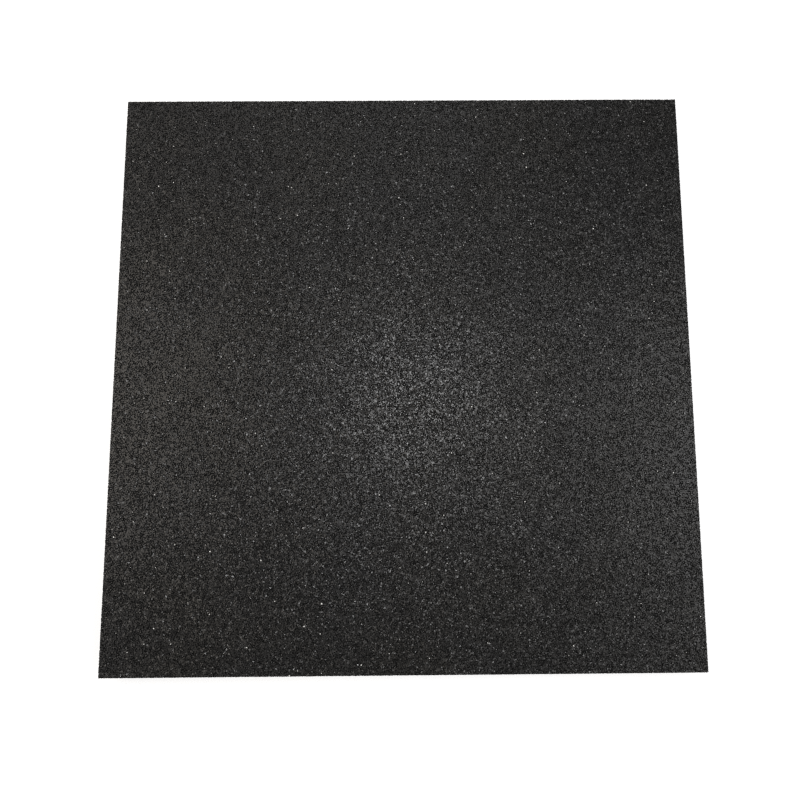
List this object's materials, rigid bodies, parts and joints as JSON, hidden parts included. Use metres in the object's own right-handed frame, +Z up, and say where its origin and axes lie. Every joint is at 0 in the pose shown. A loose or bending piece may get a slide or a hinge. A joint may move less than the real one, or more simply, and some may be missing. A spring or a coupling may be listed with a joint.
{
  "type": "rubber floor tile",
  "caption": "Square slab of pressed black crumb rubber for laying edge to edge as a resilient floor, with a fine granular face and plain straight sides.",
  "frame": {"origin": "middle of the underside, where the tile rests on the floor", "axes": "+Z up through the thickness, out of the wearing face; X and Y along the sides"},
  "size_m": [0.5, 0.5, 0.02],
  "materials": {
    "crumb_rubber": "matte"
  },
  "bodies": {
    "root": {"tile": "crumb_rubber"}
  },
  "joints": []
}
